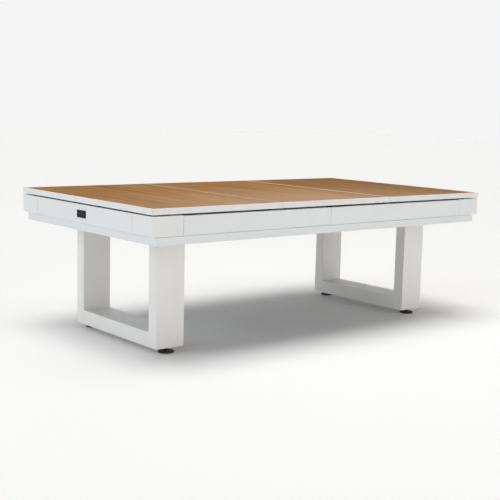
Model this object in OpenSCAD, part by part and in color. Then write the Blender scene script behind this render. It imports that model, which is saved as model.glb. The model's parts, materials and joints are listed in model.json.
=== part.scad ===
// Pool table with a lift-off dining top.
// Origin on the floor under the middle of the table, +X along its length, +Z up.
// Left is -X, right is +X, front is -Y and back is +Y.

/* [Table] */
// Overall length, over the dining top
table_l = 2500; // [2480:5:2520]
// Overall width, over the dining top
table_w = 1380; // [1370:5:1400]
// Height of the dining top above the floor
table_h = 812; // [800:1:830]

/* [Dining top] */
// Height of the white rim around the dining top
rim_h = 31.5; // [28:0.5:40]
// Width of the rim on its outer sides
rim_w = 8; // [6:1:24]
// Width of the rim where two panels meet
seam_rim_w = 1.5; // [1.5:0.5:8]
// Thickness of the boards
board_t = 12; // [8:1:16]
// Boards across each panel
board_count = 8; // [4:1:10]
// Gap between the rim and the side rails
rest_gap = 10.5; // [6:0.5:14]

/* [Aprons] */
// Height of the upper apron
apron_h = 98; // [96:1:106]
// Height of the lower apron
lower_apron_h = 48; // [46:1:60]
// Length of each corner block along both sides
corner_size = 185; // [180:1:190]
// How far the corner blocks and end panels stand above the rails
corner_rise = 3; // [0:1:5]
// Lower apron set back at the two ends
end_set_back = 28; // [22:1:29]
// Lower apron set back along the two sides
side_set_back = 17; // [12:1:17]
// Distance of the joint between two side panels from the middle
side_joint_shift = 55; // [0:1:120]
// Width of the joints between panels
seam = 2; // [1:0.5:3]

/* [Legs] */
// Distance from the end of the table to the legs
leg_inset = 210; // [200:1:240]
// Size of a leg post along the table
leg_depth = 175; // [150:1:185]
// Size of a leg post across the table
leg_t = 75; // [60:1:80]
// Width over a pair of leg posts
leg_spread = 838; // [800:2:850]
// Height of the bar that joins a pair of posts at the floor
bar_h = 82; // [60:1:120]
// Height of the leg frames above the floor
foot_h = 30; // [26:1:45]

/* [Playing field] */
// Length between the cushion noses
play_l = 2240; // [2236:1:2244]
// Width between the cushion noses
play_w = 1120; // [1118:1:1122]
// Depth of the cloth below the top of the rails
bed_drop = 43; // [42:1:46]
// Height of the cushion nose above the cloth
nose_h = 36; // [35:0.5:37]
// Width of the cushions
cushion_w = 50; // [48:1:51]
// Width of a corner pocket's mouth between the noses
corner_mouth = 115; // [110:1:117]
// Width of a side pocket's mouth between the noses
side_mouth = 130; // [126:1:132]
// Thickness of the slate
slate_t = 25; // [19:1:25]

/* [Hidden] */
$fn = 64;
ENDS = ["left", "right"];
SIDES = ["front", "back"];
PANELS = ["left", "middle", "right"];

WHITE = [0.9, 0.92, 0.93];
ALUMINIUM = [0.7, 0.71, 0.72];
WOOD = [0.68, 0.5, 0.32];
CLOTH = [0.1, 0.42, 0.28];
SLATE = [0.35, 0.37, 0.4];
BLACK = [0.07, 0.07, 0.08];
STEEL = [0.6, 0.61, 0.63];

half_l = table_l / 2;
half_w = table_w / 2;
apron_inset = 2;
skin_t = 6;
wall_t = 4;
fit_gap = 0.5;
rest_clear = 0.3;

// Levels, from the top down
rim_z = table_h - rim_h;
apron_top = rim_z - rest_gap;
apron_z = apron_top - apron_h;
lower_apron_z = apron_z - lower_apron_h;
bed_z = apron_top - bed_drop;
cloth_t = 1;
slate_z = bed_z - cloth_t - slate_t;
beam_h = 50;
beam_z = slate_z - beam_h;
flange_t = 12;
post_top = beam_z - flange_t;

// Places in plan, from the middle outwards
nose_x = play_l / 2;
nose_y = play_w / 2;
rail_x = nose_x + cushion_w;
rail_y = nose_y + cushion_w;
face_x = half_l - apron_inset;
face_y = half_w - apron_inset;
back_x = face_x - skin_t;
back_y = face_y - skin_t;
corner_x = half_l - corner_size;
corner_y = half_w - corner_size;
rail_w_end = back_x - rail_x;
rail_w_side = back_y - rail_y;

// Lower apron and the flange that it hangs from
lower_x = half_l - end_set_back;
lower_y = half_w - side_set_back;
lower_t = 8;
shadow_gap_h = 6.5;
shadow_gap_d = 6;
lip_w = 20;
lip_t = 4;
apron_flange_t = 5;
flange_x = lower_x - lower_t - 2;
flange_y = lower_y - lower_t - 2;

// Pockets
pocket_wall = 4;
corner_pocket_r = 64;
corner_pocket_shift = 25;
corner_pocket_x = nose_x + corner_pocket_shift;
corner_pocket_y = nose_y + corner_pocket_shift;
side_pocket_r = 54;
side_shelf = 2;
side_pocket_y = nose_y + side_shelf + side_pocket_r;
pocket_floor = lower_apron_z + 7;
pocket_neck = apron_z + apron_flange_t + 2;

// Slate and bed frame
slate_reach = 90;
slate_x = nose_x + slate_reach;
slate_y = nose_y + slate_reach;
slate_gap = 0.5;
slate_l = 2 * slate_x / 3;
beam_w = 60;
beam_y = nose_y - 50;
end_beam_x = nose_x + cushion_w - beam_w;
leg_x = half_l - leg_inset - leg_depth / 2;
leg_y = leg_spread / 2 - leg_t / 2;
leg_beam_w = 200;

// Bolts, all of one size
bolt_r = 5;
bolt_l = 55;
bolt_head_r = 9;
bolt_head_h = 7;
bolt_hole_r = bolt_r + fit_gap;
leg_bolt_dx = 70;
leg_bolt_dy = leg_t / 2 + 20;
rail_bolt_x = slate_x - 20;
rail_bolt_y = slate_y - 20;
side_bolt_at = [160, 560, 960];
end_bolt_at = [-400, 0, 400];
rail_bolts = concat(
    [for (x = side_bolt_at, sx = [-1, 1], sy = [-1, 1]) [sx * x, sy * rail_bolt_y]],
    [for (y = end_bolt_at, sx = [-1, 1]) [sx * rail_bolt_x, y]]
);

// Facing angles of the cushions, measured from the nose line
corner_flare = cushion_w / tan(38);
side_flare = cushion_w / tan(76);
corner_cut = corner_mouth / sqrt(2);

// Cloth facing behind each cushion, just clear of the bed cloth
facing_t = 3;
facing_lift = 0.5;

panel_pitch = table_l / 3;
panel_gap = 1;
board_gap = 1;
board_drop = 1;
support_count = 6;
support_w = 40;

// Draws its children once in the quadrant of end sx and side sy
module in_quadrant(sx, sy) {
    mirror([sx < 0 ? 1 : 0, 0, 0])
        mirror([0, sy < 0 ? 1 : 0, 0])
            children();
}

// A box given by its lowest and highest corners
module box(lo, hi) {
    translate(lo) cube(hi - lo);
}

// A rectangular tube along X, from lo to hi, open at both ends
module tube_x(lo, hi, wall) {
    inset = [0, wall, wall];
    through = [1, 0, 0];
    difference() {
        box(lo, hi);
        box(lo + inset - through, hi - inset + through);
    }
}

// A rectangular tube along Y, from lo to hi, open at both ends
module tube_y(lo, hi, wall) {
    inset = [wall, 0, wall];
    through = [0, 1, 0];
    difference() {
        box(lo, hi);
        box(lo + inset - through, hi - inset + through);
    }
}

// Leg post: a box tube with a sole plate that the foot screws into
module leg_post() {
    sole_t = 8;
    stud_hole_r = 6.2;
    color(WHITE)
    translate([leg_x, leg_y, 0])
    difference() {
        box([-leg_depth / 2, -leg_t / 2, foot_h], [leg_depth / 2, leg_t / 2, post_top]);
        box(
            [-leg_depth / 2 + wall_t, -leg_t / 2 + wall_t, foot_h + sole_t],
            [leg_depth / 2 - wall_t, leg_t / 2 - wall_t, post_top + 1]
        );
        translate([0, 0, foot_h - 1]) cylinder(r = stud_hole_r, h = sole_t + 2);
    }
}

// Plates welded on the posts, each bolted up to a beam of the bed frame
module leg_flanges() {
    half = [leg_beam_w / 2, leg_t / 2 + 40];
    color(WHITE)
    for (ex = [-1, 1], ey = [-1, 1])
        translate([ex * leg_x, ey * leg_y, post_top])
        difference() {
            box([-half.x, -half.y, 0], [half.x, half.y, flange_t]);
            for (sx = [-1, 1], sy = [-1, 1])
                translate([sx * leg_bolt_dx, sy * leg_bolt_dy, -1])
                    cylinder(r = bolt_hole_r, h = flange_t + 2);
        }
}

// Bar along the floor between the two posts of one end
module leg_bar() {
    reach = leg_spread / 2 - leg_t;
    color(WHITE)
        tube_y(
            [leg_x - leg_depth / 2, -reach, foot_h],
            [leg_x + leg_depth / 2, reach, foot_h + bar_h],
            wall_t
        );
}

// Levelling foot: round pad, swaged hub, threaded stud and jam nut in one piece
module levelling_foot() {
    pad_r = 43;
    pad_t = 13;
    hub_r = 13;
    stud_r = 6;
    stud_top = foot_h + 60;
    nut_r = 10;
    nut_h = 7;
    color(BLACK)
    translate([leg_x, leg_y, 0])
    union() {
        rotate_extrude()
            polygon([
                [0, 0], [pad_r - 1, 0], [pad_r, 1], [pad_r, pad_t - 5], [pad_r - 5, pad_t - 1],
                [hub_r + 3, pad_t], [hub_r, pad_t + 4], [stud_r, pad_t + 4], [stud_r, stud_top], [0, stud_top]
            ]);
        translate([0, 0, foot_h - rest_clear - nut_h]) cylinder(r = nut_r, h = nut_h, $fn = 6);
    }
}

// Long beam of the bed frame
module bed_beam() {
    color(ALUMINIUM)
        tube_x([-slate_x + 30, beam_y - beam_w, beam_z], [slate_x - 30, beam_y, slate_z], wall_t);
}

// Beams across the bed frame: over the legs, under the slate joints and at the ends
module bed_cross_beams() {
    reach = beam_y - beam_w;
    color(ALUMINIUM)
    for (sx = [-1, 1]) {
        difference() {
            tube_y(
                [sx * leg_x - leg_beam_w / 2, -reach, beam_z],
                [sx * leg_x + leg_beam_w / 2, reach, slate_z],
                wall_t
            );
            for (dx = [-1, 1], sy = [-1, 1], dy = [-1, 1])
                translate([sx * leg_x + dx * leg_bolt_dx, sy * leg_y + dy * leg_bolt_dy, beam_z - 1])
                    cylinder(r = bolt_hole_r, h = wall_t + 2);
        }
        for (x = [slate_l / 2, end_beam_x + beam_w / 2])
            tube_y(
                [sx * x - beam_w / 2, -reach, beam_z],
                [sx * x + beam_w / 2, reach, slate_z],
                wall_t
            );
    }
}

// One hexagon-head bolt pointing up, with the underside of its head at z = 0
module bolt() {
    cylinder(r = bolt_r, h = bolt_l);
    translate([0, 0, -bolt_head_h]) cylinder(r = bolt_head_r, h = bolt_head_h, $fn = 6);
}

// Bolts that hold the rails to the slate and the legs to the bed frame
module frame_bolts() {
    color(STEEL) {
        for (p = rail_bolts) translate([p.x, p.y, slate_z]) bolt();
        for (ex = [-1, 1], ey = [-1, 1], dx = [-1, 1], dy = [-1, 1])
            translate([ex * leg_x + dx * leg_bolt_dx, ey * leg_y + dy * leg_bolt_dy, post_top]) bolt();
    }
}

// Lower apron across one end, an angle with its lip turned in along the bottom
module lower_apron_end() {
    color(WHITE)
    union() {
        box([lower_x - lower_t, -lower_y, lower_apron_z], [lower_x, lower_y, apron_z - shadow_gap_h]);
        box(
            [lower_x - lower_t, -lower_y + shadow_gap_d, lower_apron_z],
            [lower_x - shadow_gap_d, lower_y - shadow_gap_d, apron_z]
        );
        box(
            [lower_x - lower_t - lip_w, -lower_y + lower_t, lower_apron_z],
            [lower_x - lower_t, lower_y - lower_t, lower_apron_z + lip_t]
        );
    }
}

// Lower apron along one side, between the two end ones
module lower_apron_side() {
    reach = lower_x - lower_t;
    color(WHITE)
    union() {
        box([-reach, lower_y - lower_t, lower_apron_z], [reach, lower_y, apron_z - shadow_gap_h]);
        box([-reach, lower_y - lower_t, lower_apron_z], [reach, lower_y - shadow_gap_d, apron_z]);
        box(
            [-reach + lip_w, lower_y - lower_t - lip_w, lower_apron_z],
            [reach - lip_w, lower_y - lower_t, lower_apron_z + lip_t]
        );
    }
}

// Plan of a corner block's cap, an L around the pocket
module corner_cap_plan() {
    difference() {
        translate([corner_x, corner_y]) square([face_x - corner_x, face_y - corner_y]);
        square([rail_x, rail_y]);
    }
}

// Cast corner block: thick cap around the pocket, thin skirt below it
module corner_block() {
    color(WHITE)
    difference() {
        union() {
            translate([0, 0, bed_z]) linear_extrude(apron_top + corner_rise - bed_z) corner_cap_plan();
            box([corner_x, back_y, apron_z], [face_x, face_y, bed_z]);
            box([back_x, corner_y, apron_z], [face_x, face_y, bed_z]);
            box([corner_x, flange_y, apron_z], [face_x, face_y, apron_z + apron_flange_t]);
            box([flange_x, corner_y, apron_z], [face_x, face_y, apron_z + apron_flange_t]);
        }
        translate([corner_pocket_x, corner_pocket_y, bed_z - 1])
            cylinder(r = corner_pocket_r + fit_gap, h = bed_drop + corner_rise + 2);
    }
}

// Upper apron across one end, between two corner blocks
module end_panel() {
    reach = corner_y - seam;
    color(WHITE)
    union() {
        box([back_x, -reach, apron_z], [face_x, reach, apron_top + corner_rise]);
        box([flange_x, -reach, apron_z], [back_x, reach, apron_z + apron_flange_t]);
    }
}

// Upper apron along one side, from x0 to x1
module side_panel(x0, x1) {
    color(WHITE)
    union() {
        box([x0, back_y, apron_z], [x1, face_y, apron_top]);
        box([x0, flange_y, apron_z], [x1, back_y, apron_z + apron_flange_t]);
    }
}

// The side panel at one end; both sides have their joint the same way from the middle
module side_panel_at(end) {
    joint_x = -side_joint_shift;
    if (end == "left") side_panel(-corner_x + seam, joint_x - seam / 2);
    else side_panel(joint_x + seam / 2, corner_x - seam);
}

// Blank plate on the left end panel, with a raised border
module name_plate() {
    size = [95, 41];
    thick = 1.5;
    border = 3;
    mid_z = apron_z + apron_h / 2;
    color(BLACK)
    difference() {
        box([-face_x - thick, -size.x / 2, mid_z - size.y / 2], [-face_x, size.x / 2, mid_z + size.y / 2]);
        box(
            [-face_x - thick - 1, -size.x / 2 + border, mid_z - size.y / 2 + border],
            [-face_x - thick + 0.6, size.x / 2 - border, mid_z + size.y / 2 - border]
        );
    }
}

// Plan of the whole bed: cut-off corners, pocket notches and bolt holes
module bed_plan() {
    corner_sum = corner_pocket_x + corner_pocket_y;
    difference() {
        square([2 * slate_x, 2 * slate_y], center = true);
        for (sx = [-1, 1], sy = [-1, 1])
            mirror([sx < 0 ? 1 : 0, 0]) mirror([0, sy < 0 ? 1 : 0]) {
                translate([corner_pocket_x, corner_pocket_y]) circle(r = corner_pocket_r + fit_gap);
                polygon([
                    [slate_x + 1, corner_sum - slate_x - 1],
                    [slate_x + 1, slate_y + 1],
                    [corner_sum - slate_y - 1, slate_y + 1]
                ]);
            }
        for (sy = [-1, 1]) {
            translate([0, sy * side_pocket_y]) circle(r = side_pocket_r + fit_gap);
            translate([0, sy * (side_pocket_y + 25)]) square([2 * (side_pocket_r + fit_gap), 50], center = true);
        }
        for (p = rail_bolts) translate(p) circle(r = bolt_hole_r);
    }
}

// One of the three slates, numbered 0 to 2 from the left
module slate(index) {
    x0 = -slate_x + index * slate_l + (index > 0 ? slate_gap / 2 : 0);
    x1 = -slate_x + (index + 1) * slate_l - (index < 2 ? slate_gap / 2 : 0);
    color(SLATE)
    translate([0, 0, slate_z])
    linear_extrude(slate_t)
    intersection() {
        bed_plan();
        translate([x0, -slate_y]) square([x1 - x0, 2 * slate_y]);
    }
}

// Cloth over the whole bed
module bed_cloth() {
    color(CLOTH) translate([0, 0, bed_z - cloth_t]) linear_extrude(cloth_t) bed_plan();
}

// Rail across one end, a box tube with bolt holes in its floor
module end_rail() {
    reach = corner_y - fit_gap;
    color(WHITE)
    difference() {
        tube_y([rail_x, -reach, bed_z], [back_x, reach, apron_top], wall_t);
        for (y = end_bolt_at)
            translate([rail_bolt_x, y, bed_z - 1]) cylinder(r = bolt_hole_r, h = wall_t + 2);
    }
}

// Rail along half of one side, a box tube with bolt holes in its floor
module side_rail() {
    color(WHITE)
    difference() {
        tube_x([side_pocket_r + 1, rail_y, bed_z], [corner_x - fit_gap, back_y, apron_top], wall_t);
        for (x = side_bolt_at)
            translate([x, rail_bolt_y, bed_z - 1]) cylinder(r = bolt_hole_r, h = wall_t + 2);
    }
}

// Cushion along X with its nose on y = 0, from x0 to x1, cut back by a flare at each end
module cushion_bar(x0, x1, flare0, flare1) {
    facing = cushion_w - facing_t;
    section = [
        [cushion_w, bed_drop], [2, nose_h + 4], [0, nose_h], [6, nose_h - 5],
        [facing, 10], [facing, facing_lift], [cushion_w, facing_lift]
    ];
    plan = [[x0, 0], [x1, 0], [x1 + flare1, cushion_w], [x0 - flare0, cushion_w]];
    intersection() {
        translate([x0 - flare0 - 1, 0, 0])
            rotate([90, 0, 90]) linear_extrude(x1 - x0 + flare0 + flare1 + 2) polygon(section);
        linear_extrude(bed_drop) polygon(plan);
    }
}

// Room for the four corner pockets, cut from the cushions' ends
module corner_pocket_room() {
    for (sx = [-1, 1], sy = [-1, 1])
        translate([sx * corner_pocket_x, sy * corner_pocket_y, bed_z - 1])
            cylinder(r = corner_pocket_r - pocket_wall + 1, h = bed_drop + 2);
}

// Cushion across one end
module end_cushion() {
    reach = nose_y - corner_cut;
    color(CLOTH)
    difference() {
        translate([nose_x, 0, bed_z]) rotate([0, 0, -90])
            cushion_bar(-reach, reach, corner_flare, corner_flare);
        corner_pocket_room();
    }
}

// Cushion along half of one side
module side_cushion() {
    color(CLOTH)
    difference() {
        translate([0, nose_y, bed_z])
            cushion_bar(side_mouth / 2, nose_x - corner_cut, side_flare, corner_flare);
        corner_pocket_room();
    }
}

// Pocket cup of outer radius r about the Z axis, open at top_z
module pocket_cup(r, top_z) {
    rotate_extrude()
        polygon([
            [0, pocket_floor], [r - 18, pocket_floor], [r - 9, pocket_floor + 12], [r - 8, pocket_neck],
            [r, slate_z], [r, top_z], [r - pocket_wall, top_z], [r - pocket_wall, slate_z],
            [r - pocket_wall - 8, pocket_neck], [r - pocket_wall - 9, pocket_floor + 14],
            [r - pocket_wall - 17, pocket_floor + 4], [0, pocket_floor + 4]
        ]);
}

// Corner pocket: cup below the slate and a collar that lines the corner block
module corner_pocket() {
    color(BLACK)
    union() {
        translate([corner_pocket_x, corner_pocket_y, 0]) pocket_cup(corner_pocket_r, bed_z);
        intersection() {
            translate([corner_pocket_x, corner_pocket_y, bed_z - 1])
                difference() {
                    cylinder(r = corner_pocket_r, h = bed_drop + 1);
                    translate([0, 0, -1])
                        cylinder(r = corner_pocket_r - pocket_wall, h = bed_drop + 3);
                }
            translate([0, 0, bed_z - 1]) linear_extrude(bed_drop + 2) corner_cap_plan();
        }
    }
}

// Side pocket: cup below the slate and a block that fills the gap between two rails
module side_pocket() {
    color(BLACK)
    difference() {
        union() {
            translate([0, side_pocket_y, 0]) pocket_cup(side_pocket_r, bed_z);
            box([-side_pocket_r - fit_gap, rail_y, bed_z], [side_pocket_r + fit_gap, back_y - fit_gap, apron_top]);
        }
        translate([0, side_pocket_y, bed_z - 1])
            cylinder(r = side_pocket_r - pocket_wall, h = bed_drop + 2);
    }
}

// Diamond sights on the rails, at eighths of the length and quarters of the width
module rail_sights() {
    sight_r = 7;
    sight_t = 0.8;
    mid_x = rail_x + rail_w_end / 2;
    mid_y = rail_y + rail_w_side / 2;
    places = concat(
        [for (i = [-3, -2, -1, 1, 2, 3], sy = [-1, 1]) [i * play_l / 8, sy * mid_y]],
        [for (i = [-1, 0, 1], sx = [-1, 1]) [sx * mid_x, i * play_w / 4]]
    );
    color(BLACK)
    for (p = places)
        translate([p.x, p.y, apron_top]) linear_extrude(sight_t) circle(r = sight_r, $fn = 4);
}

// Rubber pads on the rails that the dining panels rest on
module rest_pads() {
    size = [40, 20];
    mid_x = rail_x + rail_w_end / 2;
    mid_y = rail_y + rail_w_side / 2;
    places = concat(
        [for (x = [110, 350, 490, 980], sx = [-1, 1], sy = [-1, 1]) [sx * x, sy * mid_y]],
        [for (y = [-140, 140], sx = [-1, 1]) [sx * mid_x, y]]
    );
    color(BLACK)
    for (p = places)
        translate([p.x - size.x / 2, p.y - size.y / 2, apron_top])
            cube([size.x, size.y, rest_gap - rest_clear]);
}

// Ends of dining panel number index, clear of its neighbours
function panel_x0(index) = -half_l + index * panel_pitch + (index > 0 ? panel_gap : 0);
function panel_x1(index) = -half_l + (index + 1) * panel_pitch - (index < 2 ? panel_gap : 0);

// Ends of the boarded field inside a dining panel's rim
function field_x0(index) = panel_x0(index) + (index > 0 ? seam_rim_w : rim_w);
function field_x1(index) = panel_x1(index) - (index < 2 ? seam_rim_w : rim_w);

// Rim of a dining panel with the bearers that its boards lie on
module dining_frame(index) {
    reach = half_w - rim_w;
    pitch = (2 * reach - support_w) / (support_count - 1);
    color(WHITE)
    union() {
        difference() {
            box([panel_x0(index), -half_w, rim_z], [panel_x1(index), half_w, table_h]);
            box([field_x0(index), -reach, rim_z - 1], [field_x1(index), reach, table_h + 1]);
        }
        for (i = [0 : support_count - 1])
            box(
                [field_x0(index), -reach + i * pitch, rim_z],
                [field_x1(index), -reach + i * pitch + support_w, table_h - board_drop - board_t]
            );
    }
}

// Boards of a dining panel, laid across the table
module dining_boards(index) {
    reach = half_w - rim_w - board_gap;
    pitch = (field_x1(index) - field_x0(index) - board_gap) / board_count;
    color(WOOD)
    for (i = [0 : board_count - 1])
        box(
            [field_x0(index) + board_gap + i * pitch, -reach, table_h - board_drop - board_t],
            [field_x0(index) + (i + 1) * pitch, reach, table_h - board_drop]
        );
}

for (ex = [-1, 1], sy = [-1, 1]) {
    end = ENDS[(ex + 1) / 2];
    corner = str(end, "_", SIDES[(sy + 1) / 2]);
    in_quadrant(ex, sy) leg_post();
    in_quadrant(ex, sy) levelling_foot();
    in_quadrant(ex, sy) corner_block();
    in_quadrant(1, sy) side_panel_at(end);
    in_quadrant(ex, sy) side_rail();
    in_quadrant(ex, sy) side_cushion();
    in_quadrant(ex, sy) corner_pocket();
}
for (ex = [-1, 1]) {
    end = ENDS[(ex + 1) / 2];
    in_quadrant(ex, 1) leg_bar();
    in_quadrant(ex, 1) lower_apron_end();
    in_quadrant(ex, 1) end_panel();
    in_quadrant(ex, 1) end_rail();
    in_quadrant(ex, 1) end_cushion();
}
for (sy = [-1, 1]) {
    side = SIDES[(sy + 1) / 2];
    in_quadrant(1, sy) bed_beam();
    in_quadrant(1, sy) lower_apron_side();
    in_quadrant(1, sy) side_pocket();
}
for (i = [0 : 2]) {
    slate(i);
    dining_frame(i);
    dining_boards(i);
}
leg_flanges();
bed_cross_beams();
frame_bolts();
name_plate();
bed_cloth();
rail_sights();
rest_pads();
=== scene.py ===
"""Looks for the pool table with a lift-off dining top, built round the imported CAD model.

Metres throughout, in the CAD frame: the origin is on the floor under the middle of the table, +X
runs along its length and +Z is up. Left is -X and front is -Y.
"""

import json
import math

import bmesh
import bpy
from mathutils import Euler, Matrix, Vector

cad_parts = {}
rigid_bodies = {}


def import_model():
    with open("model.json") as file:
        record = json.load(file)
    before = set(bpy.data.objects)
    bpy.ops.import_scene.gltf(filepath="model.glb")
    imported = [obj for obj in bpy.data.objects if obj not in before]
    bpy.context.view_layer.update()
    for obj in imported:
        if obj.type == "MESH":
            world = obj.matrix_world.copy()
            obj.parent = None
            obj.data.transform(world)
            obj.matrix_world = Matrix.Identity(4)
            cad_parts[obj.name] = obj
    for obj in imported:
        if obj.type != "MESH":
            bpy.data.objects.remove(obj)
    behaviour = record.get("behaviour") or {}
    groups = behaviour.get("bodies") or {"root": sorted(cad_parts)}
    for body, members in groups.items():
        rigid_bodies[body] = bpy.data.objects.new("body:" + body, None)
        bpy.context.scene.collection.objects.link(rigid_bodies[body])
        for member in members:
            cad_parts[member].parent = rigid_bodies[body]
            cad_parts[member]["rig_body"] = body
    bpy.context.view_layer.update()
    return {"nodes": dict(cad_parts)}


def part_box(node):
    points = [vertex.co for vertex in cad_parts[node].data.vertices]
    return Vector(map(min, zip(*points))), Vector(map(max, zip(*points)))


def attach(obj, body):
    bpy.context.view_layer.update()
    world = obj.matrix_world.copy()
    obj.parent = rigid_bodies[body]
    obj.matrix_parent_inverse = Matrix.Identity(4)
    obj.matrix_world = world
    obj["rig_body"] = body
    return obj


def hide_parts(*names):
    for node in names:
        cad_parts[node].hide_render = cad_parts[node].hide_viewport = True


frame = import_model()

MM = 0.001
ENDS = {"left": -1, "right": 1}
SIDES = {"front": -1, "back": 1}


# ---------------------------------------------------------------- material toolkit


class Look:
    """A node material: one Principled shader, and short calls that add nodes in front of it."""

    def __init__(self, name, base, roughness=0.5, metallic=0.0, sheen=0.0, specular=0.5):
        self.material = bpy.data.materials.new(name)
        self.material.use_nodes = True
        self.tree = self.material.node_tree
        self.shader = self.tree.nodes["Principled BSDF"]
        self.shader.inputs["Base Color"].default_value = (*base, 1)
        self.shader.inputs["Roughness"].default_value = roughness
        self.shader.inputs["Metallic"].default_value = metallic
        self.shader.inputs["Sheen Weight"].default_value = sheen
        self.shader.inputs["Specular IOR Level"].default_value = specular

    def feed(self, socket, value):
        """Links value to the socket if it is another node's output, and sets it there if not."""
        if isinstance(value, bpy.types.NodeSocket):
            self.tree.links.new(value, socket)
        elif isinstance(value, tuple) and socket.type == "RGBA":
            socket.default_value = (*value, 1)
        else:
            socket.default_value = value

    def add(self, kind, inputs, **settings):
        """A new node with its settings, each of its inputs fed with a value or an output."""
        node = self.tree.nodes.new(kind)
        for name, value in settings.items():
            setattr(node, name, value)
        for key, value in inputs.items():
            self.feed(node.inputs[key], value)
        return node

    def spot(self, stretch=(1, 1, 1), shift=(0, 0, 0)):
        """The place on the piece in metres, shifted and then scaled along each axis."""
        place = self.add("ShaderNodeTexCoord", {}).outputs["Object"]
        moved = self.add("ShaderNodeVectorMath", {0: place, 1: shift}, operation="ADD").outputs[0]
        return self.add("ShaderNodeVectorMath", {0: moved, 1: stretch}, operation="MULTIPLY").outputs[0]

    def noise(self, place, scale, detail=3.0, rough=0.5, twist=0.0):
        """Smooth noise from 0 to 1, with about scale lumps a metre."""
        inputs = {"Vector": place, "Scale": scale, "Detail": detail, "Roughness": rough}
        inputs["Distortion"] = twist
        return self.add("ShaderNodeTexNoise", inputs).outputs[0]

    def cells(self, place, scale):
        """Distance to the nearest of scattered points, about scale of them a metre."""
        return self.add("ShaderNodeTexVoronoi", {"Vector": place, "Scale": scale}).outputs["Distance"]

    def level(self, value, low, high, to_low=0.0, to_high=1.0):
        """Maps low..high onto to_low..to_high and clamps it."""
        inputs = {"Value": value, "From Min": low, "From Max": high, "To Min": to_low, "To Max": to_high}
        return self.add("ShaderNodeMapRange", inputs).outputs["Result"]

    def mix(self, share, a, b, blend="MIX"):
        """Colour a turning into colour b, or blended with it, as share goes from 0 to 1."""
        node = self.add("ShaderNodeMix", {}, data_type="RGBA", blend_type=blend)
        share_in, a_in, b_in = (node.inputs[i] for i in (0, 6, 7))
        self.feed(share_in, share)
        self.feed(a_in, a)
        self.feed(b_in, b)
        return node.outputs[2]

    def colour(self, value):
        """Colours the surface."""
        self.feed(self.shader.inputs["Base Color"], value)

    def roughness(self, value):
        """Sets how rough the surface is, place by place."""
        self.feed(self.shader.inputs["Roughness"], value)

    def bumps(self, *layers):
        """Adds bump layers one over another, each a height output and its depth in metres."""
        normal = None
        for height, depth in layers:
            inputs = {"Height": height, "Distance": depth}
            if normal is not None:
                inputs["Normal"] = normal
            normal = self.add("ShaderNodeBump", inputs).outputs["Normal"]
        self.feed(self.shader.inputs["Normal"], normal)


# ---------------------------------------------------------------- materials


def powder_coat(name, dark, pale):
    """Satin powder coat between two whites: orange peel, slight drift in tone, faint rub marks."""
    look = Look(name, pale, roughness=0.36)
    drift = look.noise(look.spot(), 1.3, detail=2)
    rub = look.level(look.noise(look.spot((1, 1, 3)), 26, detail=6, rough=0.7), 0.62, 0.80, 0.0, 0.10)
    white = look.mix(drift, dark, pale)
    look.colour(look.mix(rub, white, (0.62, 0.61, 0.59)))
    look.roughness(look.level(look.noise(look.spot(), 9, detail=4), 0.3, 0.7, 0.31, 0.43))
    peel = look.noise(look.spot(), 420, detail=2)
    pebble = look.cells(look.spot(), 1500)
    look.bumps((peel, 0.18 * MM), (pebble, 0.03 * MM))
    return look.material


def teak(name):
    """Oiled teak boards, grain along Y: each has its own tone. A painted sheen pales them round a spot at
    the front edge a little left of the middle, and painted shade darkens them towards the right end.
    """
    look = Look(name, (0.33, 0.165, 0.060), roughness=0.55, specular=0.002)
    board = look.add("ShaderNodeNewGeometry", {}).outputs["Random Per Island"]
    away = look.add("ShaderNodeCombineXYZ", {0: look.level(board, 0, 1, 0, 31), 1: board}).outputs[0]
    figure = look.noise(look.spot((1, 0.07, 1), away), 24, detail=5, rough=0.55, twist=0.8)
    lines = look.noise(look.spot((1, 0.015, 1), away), 260, detail=3, rough=0.6)
    pores = look.noise(look.spot((1, 0.03, 1), away), 1300, detail=1)
    cloud = look.noise(look.spot((1, 0.30, 1), away), 5, detail=3)
    # Painted sheen: a pale patch round a spot at the front edge, fading out over about a metre.
    from_sheen_centre = look.add(
        "ShaderNodeVectorMath", {0: look.spot((0.6, 1, 0)), 1: (-0.1, -0.75, 0)}, operation="DISTANCE"
    ).outputs["Value"]
    painted_sheen = look.level(from_sheen_centre, 1.05, 0.30, 0.0, 0.62)
    # Painted shade: the boards turn darker towards the right end.
    along = look.add("ShaderNodeSeparateXYZ", {"Vector": look.spot()}).outputs["X"]
    painted_shade_right = look.level(along, 0.1, 1.25, 1.0, 0.72)

    wood = look.mix(look.level(figure, 0.36, 0.66), (0.276, 0.133, 0.041), (0.386, 0.199, 0.066))
    wood = look.mix(look.level(cloud, 0.45, 0.75, 0.0, 0.40), wood, (0.450, 0.250, 0.095))
    # The painted sheen's pale colour, mixed in over the grain.
    wood = look.mix(painted_sheen, wood, (0.485, 0.325, 0.215))
    wood = look.mix(look.level(lines, 0.45, 0.72, 0.0, 0.46), wood, (0.175, 0.082, 0.026))
    wood = look.mix(look.level(pores, 0.60, 0.72, 0.0, 0.50), wood, (0.090, 0.042, 0.014))
    tone = look.mix(board, (0.90, 0.89, 0.88), (1.10, 1.09, 1.08))
    wood = look.mix(1.0, wood, tone, "MULTIPLY")
    # The painted shade towards the right end, multiplied into the wood colour.
    look.colour(look.mix(1.0, wood, painted_shade_right, "MULTIPLY"))
    look.roughness(look.level(figure, 0.3, 0.7, 0.58, 0.44))
    look.bumps((lines, 0.22 * MM), (pores, 0.10 * MM))
    return look.material


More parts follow.
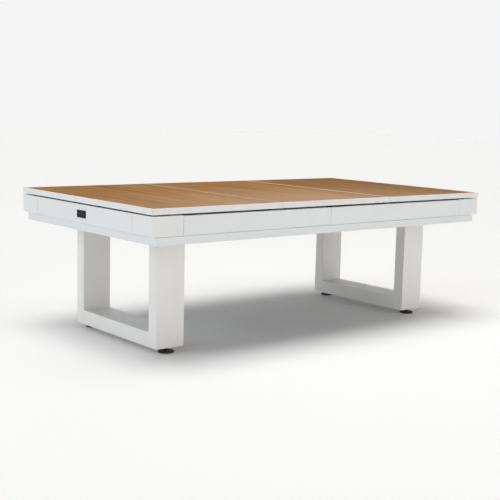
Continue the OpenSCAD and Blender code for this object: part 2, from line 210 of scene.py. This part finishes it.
def worsted(name):
    """Green worsted cloth: fine weave, short nap, slight shading where it was brushed."""
    look = Look(name, (0.018, 0.190, 0.100), roughness=0.9, sheen=0.12, specular=0.03)
    brushed = look.noise(look.spot((1, 0.4, 1)), 3, detail=4)
    fibre = look.noise(look.spot(), 900, detail=3, rough=0.7)
    green = look.mix(brushed, (0.012, 0.150, 0.075), (0.018, 0.190, 0.098))
    look.colour(look.mix(look.level(fibre, 0.35, 0.70, 0.0, 0.5), green, (0.030, 0.255, 0.140)))
    look.roughness(look.level(brushed, 0.3, 0.7, 0.84, 0.96))
    warp = look.noise(look.spot((1, 0.15, 1)), 2400, detail=1)
    weft = look.noise(look.spot((0.15, 1, 1)), 2400, detail=1)
    look.bumps((warp, 0.25 * MM), (weft, 0.25 * MM), (fibre, 0.35 * MM))
    return look.material


def black_moulding(name, grain, roughness):
    """Black moulded plastic or rubber, with a leathery surface of that many grains a metre."""
    look = Look(name, (0.018, 0.018, 0.019), roughness=roughness)
    dust = look.noise(look.spot(), 60, detail=5, rough=0.7)
    dusty = look.level(dust, 0.45, 0.8, 0.0, 0.35)
    look.colour(look.mix(dusty, (0.013, 0.013, 0.014), (0.060, 0.058, 0.056)))
    look.roughness(look.level(dust, 0.3, 0.7, roughness - 0.08, roughness + 0.12))
    look.bumps((look.cells(look.spot(), grain), 0.35 * MM))
    return look.material


def mill_aluminium(name):
    """Extruded aluminium with fine drawing lines and cloudy oxide."""
    look = Look(name, (0.58, 0.59, 0.61), roughness=0.42, metallic=1.0)
    cloud = look.noise(look.spot(), 6, detail=5)
    drawn = look.noise(look.spot((0.01, 0.01, 1)), 900, detail=2)
    look.colour(look.mix(cloud, (0.50, 0.51, 0.53), (0.66, 0.67, 0.69)))
    look.roughness(look.level(cloud, 0.3, 0.7, 0.34, 0.50))
    look.bumps((drawn, 0.15 * MM))
    return look.material


def zinc_steel(name):
    """Zinc-plated steel with a faint yellow cast in places."""
    look = Look(name, (0.59, 0.58, 0.55), roughness=0.36, metallic=1.0)
    cloud = look.noise(look.spot(), 160, detail=4)
    look.colour(look.mix(cloud, (0.52, 0.52, 0.54), (0.66, 0.63, 0.55)))
    look.roughness(look.level(cloud, 0.3, 0.7, 0.28, 0.46))
    look.bumps((look.noise(look.spot(), 1200, detail=2), 0.05 * MM))
    return look.material


def slate_stone(name):
    """Ground slate: grey with soft bedding clouds and fine grinding marks."""
    look = Look(name, (0.110, 0.118, 0.130), roughness=0.75)
    cloud = look.noise(look.spot((1, 2.2, 1)), 5, detail=6, rough=0.6)
    speck = look.noise(look.spot(), 500, detail=2)
    stone = look.mix(cloud, (0.075, 0.083, 0.095), (0.150, 0.158, 0.170))
    look.colour(look.mix(look.level(speck, 0.6, 0.8, 0.0, 0.3), stone, (0.26, 0.26, 0.27)))
    look.roughness(look.level(cloud, 0.3, 0.7, 0.66, 0.84))
    ground = look.noise(look.spot((1, 0.05, 1)), 700, detail=2)
    look.bumps((speck, 0.15 * MM), (ground, 0.15 * MM))
    return look.material


def satin_lacquer(name, dark, pale, roughness=0.46):
    """Satin lacquer between two close tones, with a fine texture."""
    look = Look(name, dark, roughness=roughness, specular=0.12)
    haze = look.noise(look.spot(), 90, detail=4)
    look.colour(look.mix(haze, dark, pale))
    look.roughness(look.level(haze, 0.3, 0.7, roughness - 0.06, roughness + 0.10))
    look.bumps((look.noise(look.spot(), 1400, detail=2), 0.05 * MM))
    return look.material


# ---------------------------------------------------------------- camera, floor and light


def make_camera():
    """A long lens, low over the left front corner of the table."""
    data = bpy.data.cameras.new("camera")
    data.lens = 71.09
    data.sensor_width = 36
    data.shift_x = -0.0654
    data.shift_y = -0.0110
    data.clip_end = 100
    camera = bpy.data.objects.new("camera", data)
    camera.location = (-3.880, -4.691, 1.299)
    heading = Euler((0, 0, math.radians(-40.92))).to_matrix()
    tilt = Euler((math.radians(90 - 7.70), 0, 0)).to_matrix()
    roll = Euler((0, 0, math.radians(1.62))).to_matrix()
    camera.rotation_euler = (heading @ tilt @ roll).to_euler()
    bpy.context.scene.collection.objects.link(camera)
    bpy.context.scene.camera = camera


def soft_sun(name, come_from, strength, spread, colour=(1, 1, 1)):
    """Even light from one direction, with shadows softened over that many degrees."""
    data = bpy.data.lights.new(name, "SUN")
    data.energy = strength
    data.angle = math.radians(spread)
    data.color = colour
    light = bpy.data.objects.new(name, data)
    light.rotation_euler = Vector(come_from).to_track_quat("Z", "Y").to_euler()
    bpy.context.scene.collection.objects.link(light)


def soft_box(name, place, aim, size, power):
    """A square light panel that shows only in what it lights and in reflections."""
    data = bpy.data.lights.new(name, "AREA")
    data.size = size
    data.energy = power
    light = bpy.data.objects.new(name, data)
    light.location = place
    light.rotation_euler = (Vector(aim) - Vector(place)).to_track_quat("-Z", "Y").to_euler()
    light.visible_camera = False
    bpy.context.scene.collection.objects.link(light)


def make_surroundings():
    """A warm white studio, brighter towards the horizon, that the camera sees as plain pale grey."""
    world = bpy.data.worlds.new("studio")
    world.use_nodes = True
    tree = world.node_tree
    light = tree.nodes["Background"]
    light.inputs["Color"].default_value = (1.0, 0.975, 0.95, 1)
    place = tree.nodes.new("ShaderNodeTexCoord")
    height = tree.nodes.new("ShaderNodeSeparateXYZ")
    fade = tree.nodes.new("ShaderNodeMapRange")
    fade.inputs["From Max"].default_value = 0.6
    fade.inputs["To Min"].default_value = 0.40
    fade.inputs["To Max"].default_value = 0.26
    seen = tree.nodes.new("ShaderNodeBackground")
    seen.inputs["Color"].default_value = (0.912, 0.914, 0.912, 1)
    path = tree.nodes.new("ShaderNodeLightPath")
    pick = tree.nodes.new("ShaderNodeMixShader")
    tree.links.new(place.outputs["Generated"], height.inputs[0])
    tree.links.new(height.outputs["Z"], fade.inputs["Value"])
    tree.links.new(fade.outputs["Result"], light.inputs["Strength"])
    tree.links.new(path.outputs["Is Camera Ray"], pick.inputs[0])
    tree.links.new(light.outputs[0], pick.inputs[1])
    tree.links.new(seen.outputs[0], pick.inputs[2])
    tree.links.new(pick.outputs[0], tree.nodes["World Output"].inputs["Surface"])
    bpy.context.scene.world = world
    bpy.context.scene.view_settings.view_transform = "Standard"


def make_floor():
    """A pale paper floor out to the horizon. It casts no shadow, so low light gets in under the table."""
    reach = 40
    corners = [(-reach, -reach, 0), (reach, -reach, 0), (reach, reach, 0), (-reach, reach, 0)]
    mesh = bpy.data.meshes.new("studio_floor")
    mesh.from_pydata(corners, [], [(0, 1, 2, 3)])
    floor = bpy.data.objects.new("studio_floor", mesh)
    bpy.context.scene.collection.objects.link(floor)
    look = Look("floor_paper", (0.95, 0.945, 0.935), roughness=0.9)
    tone = look.noise(look.spot(), 0.8, detail=2)
    look.colour(look.mix(tone, (0.94, 0.935, 0.925), (0.96, 0.955, 0.945)))
    mesh.materials.append(look.material)
    floor.visible_shadow = False


# ---------------------------------------------------------------- mesh toolkit


def add_bevel(piece, width, segments, angle):
    """A bevel modifier on the edges that turn by more than angle degrees."""
    bevel = piece.modifiers.new("bevel", "BEVEL")
    bevel.width = width
    bevel.segments = segments
    bevel.limit_method = "ANGLE"
    bevel.angle_limit = math.radians(angle)


def round_edges(piece, width):
    """Rounds the sharp edges with modifiers, which leave the mesh itself as it is."""
    weld = piece.modifiers.new("weld", "WELD")
    weld.merge_threshold = 0.02 * MM
    add_bevel(piece, width, segments=3, angle=40)
    normals = piece.modifiers.new("normals", "WEIGHTED_NORMAL")
    normals.weight = 90


def dress(prefix, material, width):
    """Gives every CAD node whose name starts with prefix its material, and edges rounded to width."""
    for name, piece in frame["nodes"].items():
        if name.startswith(prefix):
            piece.data.materials.clear()
            piece.data.materials.append(material)
            round_edges(piece, width)


def new_piece(name, verts, faces, material, node, smooth=True):
    """A mesh that stands for a CAD node: it rides on the same body and takes the material it is given."""
    mesh = bpy.data.meshes.new(name)
    mesh.from_pydata(verts, [], faces)
    mesh.materials.append(material)
    shape = bmesh.new()
    shape.from_mesh(mesh)
    bmesh.ops.remove_doubles(shape, verts=shape.verts, dist=0.005 * MM)
    bmesh.ops.recalc_face_normals(shape, faces=shape.faces)
    shape.to_mesh(mesh)
    shape.free()
    mesh.polygons.foreach_set("use_smooth", [smooth] * len(mesh.polygons))
    piece = bpy.data.objects.new(name, mesh)
    bpy.context.scene.collection.objects.link(piece)
    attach(piece, frame["nodes"][node]["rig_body"])
    return piece


def tube_faces(rings, sides):
    """Faces of a closed body: walls between neighbouring rings of points, and a cap at each end."""
    faces = []
    for ring in range(rings - 1):
        low, high = ring * sides, (ring + 1) * sides
        for here in range(sides):
            beside = (here + 1) % sides
            faces.append((low + here, low + beside, high + beside, high + here))
    faces.append(tuple(range(sides)))
    faces.append(tuple(range((rings - 1) * sides, rings * sides)))
    return faces


def rounded(outline, radius, steps=4):
    """A closed outline of 2-D points with each corner turned into a short curve."""
    # Less than half a side, so that the curves at its two ends never meet.
    most_of_side = 1 / 2.2
    points = []
    for i, here in enumerate(outline):
        here = Vector(here)
        before = Vector(outline[i - 1]) - here
        after = Vector(outline[(i + 1) % len(outline)]) - here
        start = here + before.normalized() * min(radius, before.length * most_of_side)
        end = here + after.normalized() * min(radius, after.length * most_of_side)
        for k in range(steps + 1):
            t = k / steps
            points.append((1 - t) ** 2 * start + 2 * t * (1 - t) * here + t**2 * end)
    return points


# ---------------------------------------------------------------- cushions and bed cloth

# A cushion bar in section, in mm: depth behind the nose's front and height above the bed cloth.
SECTION = [(49.5, 42.6), (3, 40.2), (0, 36), (6, 30.5), (47, 10), (47, 0.6), (49.5, 0.6)]
CUSHION_W = 50 * MM


def cup_circle(node):
    """Centre and outer radius in plan of a pocket cup at the back, whose front half is round."""
    low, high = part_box(node)
    radius = (high.x - low.x) / 2
    return low.x + radius, low.y + radius, radius


def cushion_mesh(ends, place):
    """The cushion section, repeated at stations along a bar.

    ends(depth) gives where the bar starts and stops at that depth, and place(u, depth, height)
    turns a distance along the bar into a point of the table.
    """
    section = [(d * MM, h * MM) for d, h in rounded(SECTION, 3)]
    stations = 28
    verts = []
    for k in range(stations + 1):
        for depth, height in section:
            start, end = ends(depth)
            verts.append(place(start + (end - start) * k / stations, depth, height))
    return verts, tube_faces(stations + 1, len(section))


def make_cushion(node, ends, place, cloth):
    """A rubber cushion bar under tight cloth, in place of its CAD node."""
    verts, faces = cushion_mesh(ends, place)
    piece = new_piece(node + "_cloth", verts, faces, cloth, node)
    add_bevel(piece, 1.5 * MM, segments=2, angle=50)
    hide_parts(node)


def make_cushions(cloth):
    """Six cushion bars, their ends cut to the pocket openings and kept off the corner cups."""
    cup_x, cup_y, cup_r = cup_circle("corner_pocket_right_back")
    clear_r = cup_r - 3 * MM
    bed_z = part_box("bed_cloth")[1].z
    side_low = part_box("side_cushion_right_back")[0]
    nose_y = side_low.y
    nose_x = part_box("end_cushion_right")[0].x
    # A nose stops this far before the corner where the nose lines cross.
    corner_cut = 81.3 * MM
    # How far the slanting ends run along the table over the cushion's depth: 142 and 104 degree cuts.
    corner_flare = 64 * MM
    side_flare = 12.5 * MM

    def before_cup(along, across):
        """Where a line at that distance across from the cup's centre meets its clear circle."""
        return along - math.sqrt(max(clear_r**2 - across**2, 0))

    def side_ends(depth):
        share = depth / CUSHION_W
        start = side_low.x + side_flare * (1 - share)
        corner = nose_x - corner_cut + corner_flare * share
        return start, min(corner, before_cup(cup_x, nose_y + depth - cup_y))

    def end_ends(depth):
        corner = nose_y - corner_cut + corner_flare * depth / CUSHION_W
        reach = min(corner, before_cup(cup_y, nose_x + depth - cup_x))
        return -reach, reach

    for end, sx in ENDS.items():
        def at_end(u, depth, height, sx=sx):
            return sx * (nose_x + depth), u, bed_z + height

        make_cushion(f"end_cushion_{end}", end_ends, at_end, cloth)
        for side, sy in SIDES.items():
            def at_side(u, depth, height, sx=sx, sy=sy):
                return sx * u, sy * (nose_y + depth), bed_z + height

            make_cushion(f"side_cushion_{end}_{side}", side_ends, at_side, cloth)


def arc(centre, radius, start, end, steps=20):
    """Points round a circle between two angles in degrees."""
    turns = [math.radians(start + (end - start) * k / steps) for k in range(steps + 1)]
    return [(centre[0] + radius * math.cos(t), centre[1] + radius * math.sin(t)) for t in turns]


def flat_area(outline):
    """Area inside a closed outline of 2-D points."""
    sides = zip(outline, outline[1:] + outline[:1])
    return abs(sum(x0 * y1 - x1 * y0 for (x0, y0), (x1, y1) in sides)) / 2


def make_bed_cloth(cloth):
    """The playing cloth, stretched over the three slates and cut out round the six pockets."""
    low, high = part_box("bed_cloth")
    gap = 1 * MM
    corner_x, corner_y, corner_r = cup_circle("corner_pocket_right_back")
    side_y, side_r = cup_circle("side_pocket_back")[1:]
    # The corners are cut off along x + y = cut, which runs through the corner cup's centre.
    cut = corner_x + corner_y
    outline = [(high.x, cut - high.x)]
    outline += arc((corner_x, corner_y), corner_r + gap, -45, -225)
    outline += [(cut - high.y, high.y), (side_r + gap, high.y)]
    outline += arc((0, side_y), side_r + gap, 0, -90)
    outline += [(-x, y) for x, y in reversed(outline)]
    outline += [(x, -y) for x, y in reversed(outline)]
    verts = [(x, y, z) for z in (low.z, high.z) for x, y in outline]
    faces = tube_faces(2, len(outline))
    piece = new_piece("bed_cloth_sheet", verts, faces, cloth, "bed_cloth", smooth=False)
    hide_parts("bed_cloth")
    flat_area(outline)


# ---------------------------------------------------------------- levelling feet and name plate


def turned(centre, rings, radius_at, sides=96):
    """A body turned round an upright axis, as rings of a height and a plain radius.

    radius_at(ring, angle) gives the radius there with its ribs, thread or flats.
    """
    verts = []
    for ring in rings:
        for k in range(sides):
            angle = 2 * math.pi * k / sides
            radius = radius_at(ring, angle)
            x = centre.x + radius * math.cos(angle)
            y = centre.y + radius * math.sin(angle)
            verts.append((x, y, ring[0]))
    return verts, tube_faces(len(rings), sides)


def foot_pad(centre):
    """The dished pad of a foot, with a hub for the stud and ribs round the rim to turn it by."""
    profile = [
        (0, 0), (0, 40.5), (0.6, 42.2), (1.6, 42.8), (7.5, 42.8), (9.0, 42.0), (10.2, 40.2), (11.0, 37.5),
        (11.6, 33), (12.2, 26), (13.0, 18), (13.8, 14.6), (14.8, 13), (16.0, 11.2), (16.8, 8.5), (17.0, 6),
    ]
    ribs, rib_depth = 36, 0.5 * MM
    rib_low, rib_high = 1.5 * MM, 8 * MM

    def radius_at(ring, angle):
        height, radius = ring
        if rib_low < height < rib_high:
            radius -= rib_depth * (1 + math.cos(ribs * angle)) / 2
        return radius

    return turned(centre, [(h * MM, r * MM) for h, r in profile], radius_at, sides=6 * ribs)


def foot_stud(centre, top_z):
    """The threaded stud, from inside the pad's hub up into the leg: one ridge climbs a pitch a turn."""
    low_z = 16 * MM
    pitch, root, crest = 1.75 * MM, 5.1 * MM, 5.9 * MM
    step = pitch / 8
    rings = [(low_z + k * step, root) for k in range(int((top_z - low_z) / step))]

    def radius_at(ring, angle):
        wave = (ring[0] / pitch - angle / (2 * math.pi)) % 1
        return root + (crest - root) * (1 - abs(2 * wave - 1))

    return turned(centre, rings, radius_at, sides=32)


def foot_nut(centre, leg_z):
    """The hexagonal jam nut just under the leg, its corners chamfered towards both faces."""
    corner_r, height, gap = 10 * MM, 7 * MM, 0.3 * MM
    chamfer, slope = 1.2 * MM, 1.7
    low_z = leg_z - gap - height
    layers = 12
    rings = [(low_z + height * k / layers, corner_r) for k in range(layers + 1)]

    def radius_at(ring, angle):
        from_face = min(ring[0] - low_z, low_z + height - ring[0])
        from_flat = (angle + math.pi / 6) % (math.pi / 3) - math.pi / 6
        flat = corner_r * math.cos(math.pi / 6) / math.cos(from_flat)
        return min(flat, corner_r - chamfer + slope * from_face)

    return turned(centre, rings, radius_at)


def make_foot(end, side, plastic):
    """A levelling foot in place of its CAD node: pad, threaded stud and jam nut."""
    node = f"levelling_foot_{end}_{side}"
    low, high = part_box(node)
    centre = (low + high) / 2
    leg_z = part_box(f"leg_post_{end}_{side}")[0].z
    pad = new_piece(node + "_pad", *foot_pad(centre), plastic, node)
    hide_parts(node)
    new_piece(node + "_stud", *foot_stud(centre, high.z), plastic, node)
    new_piece(node + "_nut", *foot_nut(centre, leg_z), plastic, node, smooth=False)


def make_plate_motif(pewter):
    """Three small raised lozenges, like rail sights, in the sunk field of the blank name plate."""
    low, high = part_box("name_plate")
    half, top_share = 3.2 * MM, 0.8
    # Depths behind the plate's rim.
    root, shoulder, top = 1.0 * MM, 0.25 * MM, 0.125 * MM
    rings = [(low.x + root, half), (low.x + shoulder, half), (low.x + top, half * top_share)]
    z = (low.z + high.z) / 2
    verts, faces = [], []
    for k in (-1, 0, 1):
        y = (low.y + high.y) / 2 + k * (high.y - low.y) / 4
        first = len(verts)
        for x, reach in rings:
            verts += [(x, y - reach, z), (x, y, z - reach), (x, y + reach, z), (x, y, z + reach)]
        faces += [tuple(first + i for i in face) for face in tube_faces(len(rings), 4)]
    new_piece("name_plate_motif", verts, faces, pewter, "name_plate", smooth=False)


# ---------------------------------------------------------------- the table

make_camera()
make_surroundings()
make_floor()
soft_sun("overhead", come_from=(-0.10, 0.03, 1.0), strength=1.76, spread=40)
soft_sun("left", come_from=(-0.93, 0.05, 0.38), strength=0.76, spread=50, colour=(0.83, 0.93, 1.0))
soft_sun("front", come_from=(0.38, -0.92, 0.16), strength=0.57, spread=50, colour=(1.0, 0.99, 0.975))
soft_sun("back", come_from=(0.60, 0.78, 0.35), strength=0.34, spread=60)
soft_box("front_top", place=(0.1, -0.7, 2.8), aim=(0.1, -0.2, 0.8), size=1.2, power=9)

# Copies of one white powder coat. The legs' copy is paler and warmer: painted fill light, standing in for
# the light that reaches them in the shade under the table. The aprons' copy is darker and cooler: painted
# shade with a cool cast of light painted in.
leg_white_painted_fill = powder_coat("powder_coat_legs", (0.850, 0.838, 0.822), (0.890, 0.880, 0.866))
apron_white_painted_shade = powder_coat("powder_coat_aprons", (0.775, 0.792, 0.806), (0.812, 0.826, 0.838))
block_white = powder_coat("powder_coat_blocks", (0.780, 0.784, 0.786), (0.822, 0.826, 0.826))
wood = teak("teak_boards")
cloth = worsted("green_cloth")
pocket_black = black_moulding("pocket_liner", 900, 0.50)
rubber = black_moulding("pad_rubber", 2500, 0.70)
foot_black = black_moulding("foot_plastic", 1800, 0.52)
aluminium = mill_aluminium("mill_aluminium")
zinc = zinc_steel("zinc_steel")
stone = slate_stone("slate_stone")
lacquer = satin_lacquer("black_lacquer", (0.006, 0.006, 0.006), (0.016, 0.016, 0.017))
pewter = satin_lacquer("pewter", (0.20, 0.20, 0.21), (0.30, 0.30, 0.31), roughness=0.4)

for part in ("leg_post", "leg_bar", "leg_flanges"):
    dress(part, leg_white_painted_fill, 2.0 * MM)
for part in ("lower_apron", "end_panel", "side_panel", "end_rail", "side_rail"):
    dress(part, apron_white_painted_shade, 1.2 * MM)
for part in ("corner_block", "dining_frame"):
    dress(part, block_white, 1.2 * MM)
dress("dining_boards", wood, 2.4 * MM)
dress("bed_beam", aluminium, 1.5 * MM)
dress("bed_cross_beams", aluminium, 1.5 * MM)
dress("slate", stone, 0.8 * MM)
dress("frame_bolts", zinc, 0.8 * MM)
dress("corner_pocket", pocket_black, 1.2 * MM)
dress("side_pocket", pocket_black, 1.2 * MM)
dress("rest_pads", rubber, 1.5 * MM)
dress("rail_sights", lacquer, 0.3 * MM)
dress("name_plate", lacquer, 0.4 * MM)

make_cushions(cloth)
make_bed_cloth(cloth)
for end in ENDS:
    for side in SIDES:
        make_foot(end, side, foot_black)
make_plate_motif(pewter)
